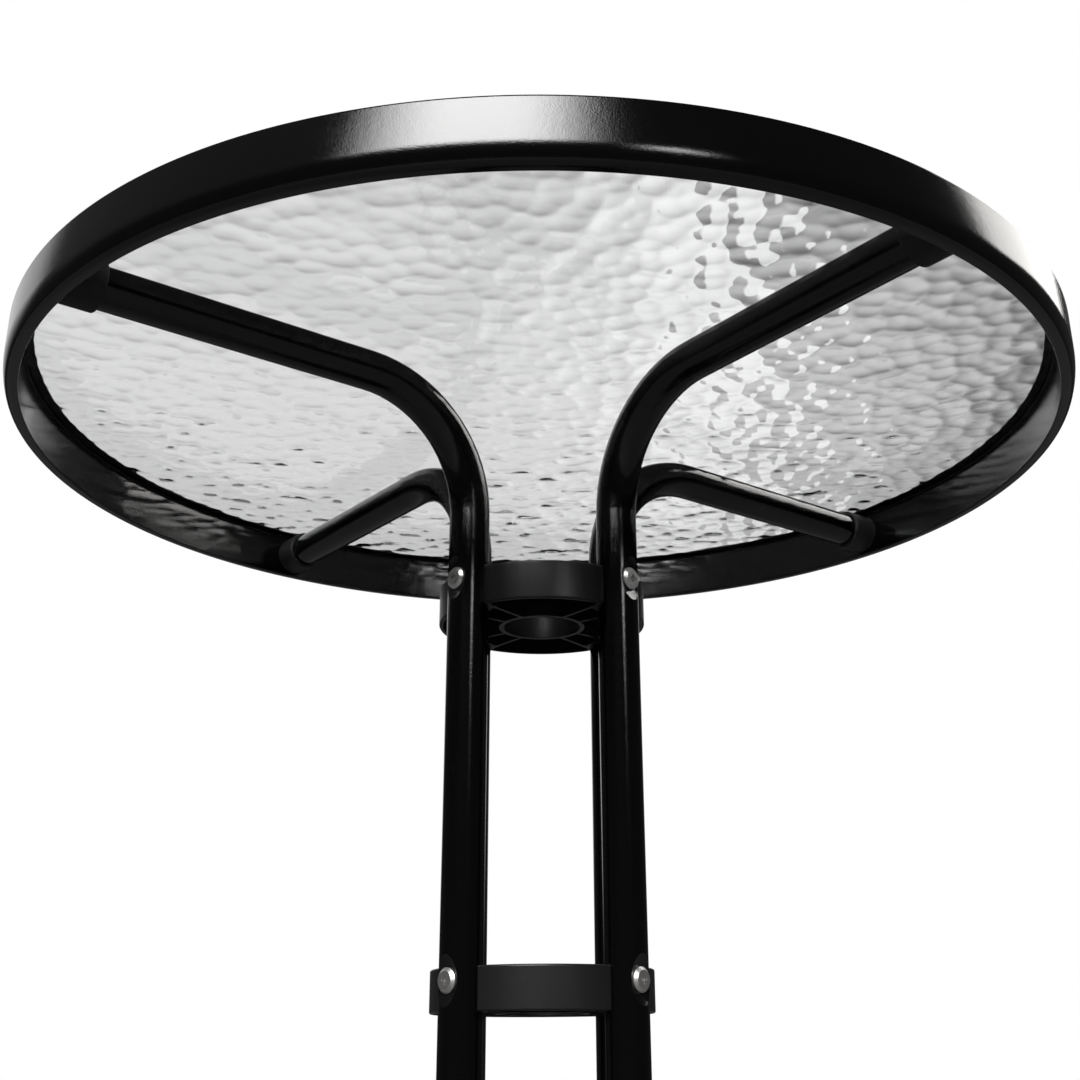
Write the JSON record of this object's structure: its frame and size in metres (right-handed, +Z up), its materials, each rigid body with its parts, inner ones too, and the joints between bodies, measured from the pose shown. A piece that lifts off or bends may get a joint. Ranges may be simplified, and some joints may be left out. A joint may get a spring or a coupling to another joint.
{
  "type": "round bistro table",
  "caption": "Round glass-topped garden table: steel rim on bent tube legs bolted round two bored collars that can guide a pole.",
  "frame": {"origin": "on the floor under the middle of the top", "axes": "+Z up through the collars' bores; -Y towards the picture's camera; the posts stand on the diagonals between X and Y, and the sockets on the rim 7.4 degrees clockwise of them"},
  "size_m": [0.6024, 0.6024, 0.7],
  "materials": {
    "frame_steel": "satin black powder coat with a fine speckle",
    "glass": "clear toughened glass with a rippled underside",
    "edging_pvc": "soft black edging strip",
    "collar_plastic": "satin black moulded plastic",
    "socket_plastic": "matte dark grey moulded plastic",
    "cap_plastic": "matte black moulded plastic",
    "zinc_steel": "bright zinc plating"
  },
  "bodies": {
    "root": {"rim": "frame_steel", "glass_pane": "glass", "glass_edging": "edging_pvc", "upper_collar": "collar_plastic", "lower_collar": "collar_plastic", "leg_back_right": "frame_steel", "leg_back_left": "frame_steel", "leg_front_left": "frame_steel", "leg_front_right": "frame_steel", "rim_socket_back_right": "socket_plastic", "rim_socket_back_left": "socket_plastic", "rim_socket_front_left": "socket_plastic", "rim_socket_front_right": "socket_plastic", "socket_screw_back_right": "zinc_steel", "socket_screw_back_left": "zinc_steel", "socket_screw_front_left": "zinc_steel", "socket_screw_front_right": "zinc_steel", "foot_cap_back_right": "cap_plastic", "foot_cap_back_left": "cap_plastic", "foot_cap_front_left": "cap_plastic", "foot_cap_front_right": "cap_plastic", "upper_bolt_back_right": "zinc_steel", "upper_bolt_back_left": "zinc_steel", "upper_bolt_front_left": "zinc_steel", "upper_bolt_front_right": "zinc_steel", "lower_bolt_back_right": "zinc_steel", "lower_bolt_back_left": "zinc_steel", "lower_bolt_front_left": "zinc_steel", "lower_bolt_front_right": "zinc_steel", "upper_nut_back_right": "zinc_steel", "upper_nut_back_left": "zinc_steel", "upper_nut_front_left": "zinc_steel", "upper_nut_front_right": "zinc_steel", "lower_nut_back_right": "zinc_steel", "lower_nut_back_left": "zinc_steel", "lower_nut_front_left": "zinc_steel", "lower_nut_front_right": "zinc_steel"}
  },
  "joints": []
}
